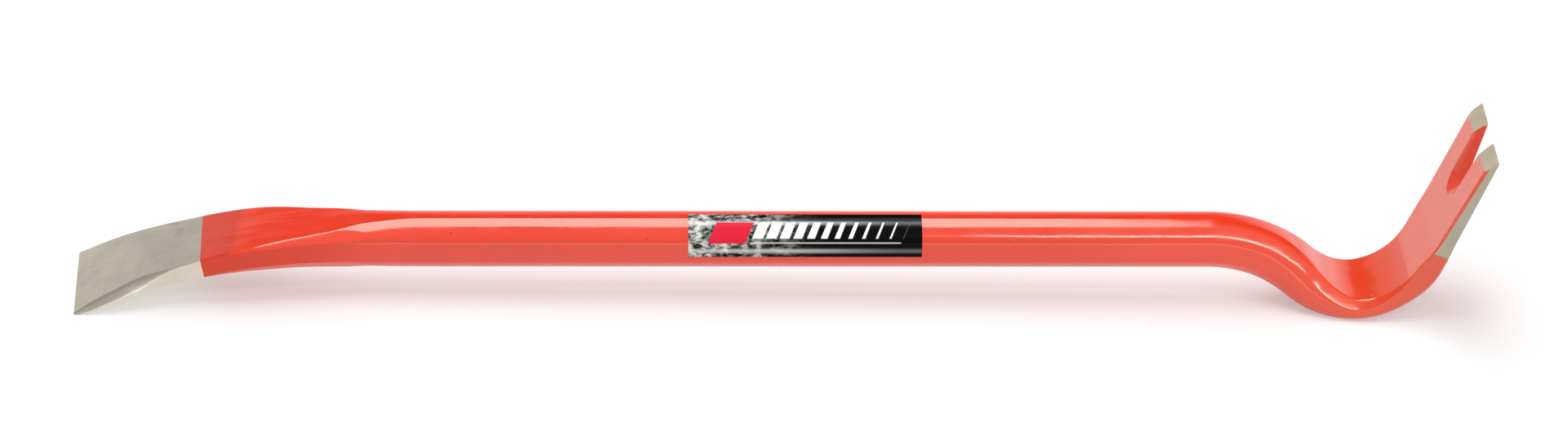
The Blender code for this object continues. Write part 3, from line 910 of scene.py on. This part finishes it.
def chart_label(bm, shape, middle):
    """Lays the print's chart on the label: along it and round it, each from 0 to 1."""

    def spot(vert):
        """Where a point is round the bar."""
        return round(vert.co.y, CHART_DIGITS), round(vert.co.z, CHART_DIGITS)

    spots = {spot(vert) for vert in bm.verts}
    rounds = sorted(spots, key=lambda place: atan2(place[1] - middle, -place[0]))
    reach = {rounds[0]: 0.0}
    for near, far in pairwise(rounds):
        reach[far] = reach[near] + dist(near, far)
    chart = bm.loops.layers.uv.new("print")
    for face in bm.faces:
        for loop in face.loops:
            along = (loop.vert.co.x - LABEL_START) / shape.sizes.label_length
            loop[chart].uv = (along, reach[spot(loop.vert)] / reach[rounds[-1]])


def build_label(shape, material):
    """The label's film, drawn out along the grip from the section's outline and cut to its edges."""
    sizes = shape.sizes
    _, middle, _ = shape.walk(shape.neck_start)
    outline = shape.outline((BLADE_END_RUN + shape.neck_start) / 2)
    path = outline[:LABEL_SIDES * (SIDE_POINTS + CORNER_POINTS)]
    bm = bmesh.new()
    verts = [bm.verts.new((LABEL_START, y, middle + z)) for y, z in path]
    edges = [bm.edges.new(pair) for pair in pairwise(verts)]
    drawn = bmesh.ops.extrude_edge_only(bm, edges=edges)["geom"]
    far_end = [item for item in drawn if isinstance(item, bmesh.types.BMVert)]
    bmesh.ops.translate(bm, verts=far_end, vec=(sizes.label_length, 0.0, 0.0))
    cut_along(bm, (0.0, 0.0, middle + LABEL_LOWER_EDGE), (0.0, 0.0, -1.0), clear_outer=True)
    cut_along(bm, (0.0, LABEL_TOP_EDGE, 0.0), (0.0, 1.0, 0.0), clear_outer=True)
    bmesh.ops.recalc_face_normals(bm, faces=bm.faces)
    if sum(face.normal.z * face.calc_area() for face in bm.faces) < 0.0:
        bmesh.ops.reverse_faces(bm, faces=bm.faces)
    chart_label(bm, shape, middle)
    bm.transform(shape.resting_matrix())
    bm.normal_update()
    for vert in bm.verts:
        vert.co += vert.normal * sizes.paint_thickness / 2
    thicken(bm, sizes.label_thickness)
    return object_from(bm, "grip_label", [material])


def sink_under_paint(bm, thickness):
    """Sets the painted faces back by the paint's thickness, with a step where they meet bare ones."""
    bare = [face for face in bm.faces if face.material_index == GROUND]
    raised = bmesh.ops.extrude_face_region(bm, geom=bare)["geom"]
    bmesh.ops.delete(bm, geom=bare, context="FACES")
    kept = set(raised)
    bm.normal_update()
    for vert in bm.verts:
        if vert not in kept:
            vert.co -= vert.normal * thickness * SINK_SHARE


class MESH_OT_wrecking_bar_forging(bpy.types.Operator):
    """Build the forged steel bar, sunk under the paint and flush where it is bare"""

    bl_idname = "mesh.wrecking_bar_forging"
    bl_label = "Forged Bar"

    def execute(self, context):
        shape = BarShape(context.scene.wrecking_bar_sizes)
        steel = ground_steel(context.scene.wrecking_bar_finishes)
        bm = finished_bar(shape, steel)
        bm.transform(shape.resting_matrix())
        sink_under_paint(bm, shape.sizes.paint_thickness)
        # How much painted shade each sideways flank of the steel gets
        steel_shade = bm.faces.layers.float.new(STEEL_FLANK_SHADE)
        for face in bm.faces:
            at_claw = face.calc_center_median().x > 0.0
            if abs(face.normal.y) > FLANK_FACING:
                face[steel_shade] = 1.0 if at_claw else BLADE_FLANK_SHADE
            face.material_index = 0
        forging = object_from(bm, "forged_bar", [steel])
        smooth(forging, SHARP_ANGLE)
        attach(forging, ROOT_BODY)
        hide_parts("forged_steel_bar")
        return {"FINISHED"}


class MESH_OT_wrecking_bar_paint(bpy.types.Operator):
    """Build the paint coat as a thin shell over the forging"""

    bl_idname = "mesh.wrecking_bar_paint"
    bl_label = "Paint Coat"

    def execute(self, context):
        shape = BarShape(context.scene.wrecking_bar_sizes)
        paint = red_paint(context.scene.wrecking_bar_finishes)
        bm = finished_bar(shape, paint)
        bm.transform(shape.resting_matrix())
        bare = [face for face in bm.faces if face.material_index == GROUND]
        bmesh.ops.delete(bm, geom=bare, context="FACES")
        # Painted shade on the walls of the nail slot
        slot_shade = bm.faces.layers.float.new(SLOT_SHADE)
        # Painted shade and duller gloss on faces that face sideways
        flank = bm.faces.layers.float.new(PAINT_FLANK_SHADE)
        least, full = PAINT_FLANK_SHADE_FACING
        for face in bm.faces:
            face[slot_shade] = float(face.material_index == SLOT_WALL)
            face[flank] = min(1.0, max(0.0, (abs(face.normal.y) - least) / (full - least)))
            face.material_index = 0
        thicken(bm, -shape.sizes.paint_thickness)
        coat = object_from(bm, "paint_coat", [paint])
        smooth(coat, SHARP_ANGLE)
        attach(coat, ROOT_BODY)
        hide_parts("red_paint_coat")
        return {"FINISHED"}


class MESH_OT_wrecking_bar_label(bpy.types.Operator):
    """Build the printed label and wrap it over the grip"""

    bl_idname = "mesh.wrecking_bar_label"
    bl_label = "Printed Label"

    def execute(self, context):
        shape = BarShape(context.scene.wrecking_bar_sizes)
        label = build_label(shape, label_print(context.scene.wrecking_bar_finishes))
        smooth(label, SHARP_LABEL_ANGLE)
        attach(label, ROOT_BODY)
        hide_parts("printed_label")
        return {"FINISHED"}


FLOOR_SIZE = 30.0
Lamp = namedtuple("Lamp", "name length width place aim")
SOFTBOX = Lamp("overhead_softbox", 0.75, 2.14, Vector((-0.05, 0.43, 1.5)), Vector((-0.05, 0.43, 0.0)))
STRIP = Lamp("front_strip", 1.50, 0.09, Vector((0.95, -0.88, 1.21)), Vector((0.95, 0.0, 0.0)))
# The white backdrop reaches this high in front, and this steeply up behind the bar
HORIZON = 0.14
BACKDROP_SLOPE = 0.53
BACKDROP_SOFTNESS = 0.015
# Two directions, and the share of the light at each: the backdrop dims upwards and is brightest in
# front, the front wall and the backdrop dim to the left, and the ceiling is lighter there
BACKDROP_RISE = (0.05, 0.5, 1.1, 0.56)
BACKDROP_FRONT = (-0.5, -0.1, 1.7, 1.0)
BACKDROP_SIDES = (-0.7, 0.1, 0.62, 1.05)
ROOM_SIDES = (-0.7, 0.5, 0.4, 1.3)
CEILING_SIDES = (-0.40, -0.08, 4.0, 1.0)
WALL_TO_CEILING = (-0.4, 0.3)
# The floor is seen with a darker ground and with a glow that makes it white again
FLOOR_SHADE, FLOOR_GLOW = 0.68, 0.38


def add_lamp(lamp, power):
    """A rectangular soft lamp that faces the place it is aimed at."""
    light = bpy.data.lights.new(lamp.name, "AREA")
    light.shape = "RECTANGLE"
    light.size = lamp.length
    light.size_y = lamp.width
    light.energy = power
    made = placed(lamp.name, light)
    made.location = lamp.place
    made.rotation_euler = (lamp.aim - lamp.place).to_track_quat("-Z", "Y").to_euler()


def floor_material(studio):
    """A pale floor that keeps the bar's shadow and reads as white."""
    material, nodes, shader = new_material("studio_floor")
    ground = opaque(studio.floor_colour, FLOOR_SHADE)
    nodes.fill(shader, {"Base Color": ground, "Roughness": 1.0, "Specular IOR Level": 0.0})
    bounce = nodes.add("ShaderNodeBsdfDiffuse", {"Color": opaque(studio.floor_colour)})
    glow = nodes.add("ShaderNodeEmission", {"Strength": FLOOR_GLOW})
    seen = nodes.add("ShaderNodeAddShader", {0: shader.outputs[0], 1: glow.outputs[0]})
    path = nodes.add("ShaderNodeLightPath").outputs
    clear = nodes.maths("MAXIMUM", path["Is Glossy Ray"], path["Is Transmission Ray"])
    looked_at = nodes.maths("MAXIMUM", path["Is Camera Ray"], clear)
    either = nodes.add("ShaderNodeMixShader", {0: looked_at, 1: bounce.outputs[0], 2: seen.outputs[0]})
    nodes.fill(nodes.tree.nodes["Material Output"], {"Surface": either.outputs[0]})
    return material


def studio_world(studio):
    """A white backdrop behind the bar, a grey wall in front of it and a dark ceiling."""
    world = bpy.data.worlds.new("studio_world")
    bpy.context.scene.world = world
    nodes = Nodes(world)
    right, back, up = nodes.parts(nodes.coordinates("Generated"))
    edge = nodes.maths("MAXIMUM", nodes.product(back, BACKDROP_SLOPE), HORIZON)
    above = nodes.maths("SUBTRACT", up, edge)
    backdrop = nodes.ramp(above, -BACKDROP_SOFTNESS, BACKDROP_SOFTNESS, 1.0, 0.0)
    room = nodes.maths("SUBTRACT", 1.0, backdrop)
    for towards, limits in ((right, BACKDROP_SIDES), (up, BACKDROP_RISE), (back, BACKDROP_FRONT)):
        backdrop = nodes.product(backdrop, nodes.ramp(towards, *limits))
    wall = nodes.product(nodes.ramp(right, *ROOM_SIDES), studio.front_wall)
    ceiling = nodes.product(nodes.ramp(right, *CEILING_SIDES), studio.ceiling)
    room = nodes.product(room, nodes.ramp(back, *WALL_TO_CEILING, wall, ceiling))
    light = nodes.maths("ADD", backdrop, room)
    nodes.fill(nodes.tree.nodes["Background"], {"Color": (1.0, 1.0, 1.0, 1.0), "Strength": light})


def add_camera():
    """The long lens that sees the bar as the picture does."""
    level = cos(CAMERA_RISE)
    ahead = Vector((sin(CAMERA_BEARING) * level, cos(CAMERA_BEARING) * level, -sin(CAMERA_RISE)))
    turn = ahead.to_track_quat("-Z", "Y").to_matrix().to_4x4() @ Matrix.Rotation(CAMERA_ROLL, 4, "Z")
    camera = placed("picture_camera", bpy.data.cameras.new("picture_camera"))
    camera.data.sensor_fit = "HORIZONTAL"
    camera.data.lens = CAMERA_LENS
    camera.data.clip_end = 2 * FLOOR_SIZE
    camera.matrix_world = Matrix.Translation(CAMERA_AIM - ahead * CAMERA_DISTANCE) @ turn
    bpy.context.scene.camera = camera


class SCENE_OT_wrecking_bar_studio(bpy.types.Operator):
    """Set up the floor, the lamps, the world and the camera"""

    bl_idname = "scene.wrecking_bar_studio"
    bl_label = "Studio"

    def execute(self, context):
        studio = context.scene.wrecking_bar_studio
        bm = bmesh.new()
        bmesh.ops.create_grid(bm, x_segments=1, y_segments=1, size=FLOOR_SIZE / 2)
        object_from(bm, "studio_floor", [floor_material(studio)])
        studio_world(studio)
        add_lamp(SOFTBOX, studio.overhead_power)
        add_lamp(STRIP, studio.front_power)
        add_camera()
        context.scene.view_settings.view_transform = "Standard"
        return {"FINISHED"}


class VIEW3D_PT_wrecking_bar(bpy.types.Panel):
    """Lists the pieces and their settings."""

    bl_label = "Wrecking Bar"
    bl_space_type = "VIEW_3D"
    bl_region_type = "UI"
    bl_category = "Wrecking Bar"

    def draw(self, context):
        for group in PROPERTY_GROUPS:
            settings = getattr(context.scene, group)
            box = self.layout.box()
            for name in settings.__annotations__:
                box.prop(settings, name)
        for operator in OPERATORS:
            self.layout.operator(operator.bl_idname)


PROPERTY_GROUPS = {
    "wrecking_bar_sizes": BarSizes,
    "wrecking_bar_finishes": BarFinishes,
    "wrecking_bar_studio": StudioSettings,
}
OPERATORS = (
    MESH_OT_wrecking_bar_forging,
    MESH_OT_wrecking_bar_paint,
    MESH_OT_wrecking_bar_label,
    SCENE_OT_wrecking_bar_studio,
)


def register():
    for name, group in PROPERTY_GROUPS.items():
        bpy.utils.register_class(group)
        setattr(bpy.types.Scene, name, PointerProperty(type=group))
    for operator in OPERATORS:
        bpy.utils.register_class(operator)
    bpy.utils.register_class(VIEW3D_PT_wrecking_bar)


def unregister():
    bpy.utils.unregister_class(VIEW3D_PT_wrecking_bar)
    for operator in reversed(OPERATORS):
        bpy.utils.unregister_class(operator)
    for name, group in PROPERTY_GROUPS.items():
        delattr(bpy.types.Scene, name)
        bpy.utils.unregister_class(group)


def main():
    register()
    bpy.ops.mesh.wrecking_bar_forging()
    bpy.ops.mesh.wrecking_bar_paint()
    bpy.ops.mesh.wrecking_bar_label()
    bpy.ops.scene.wrecking_bar_studio()


if __name__ == "__main__":
    main()
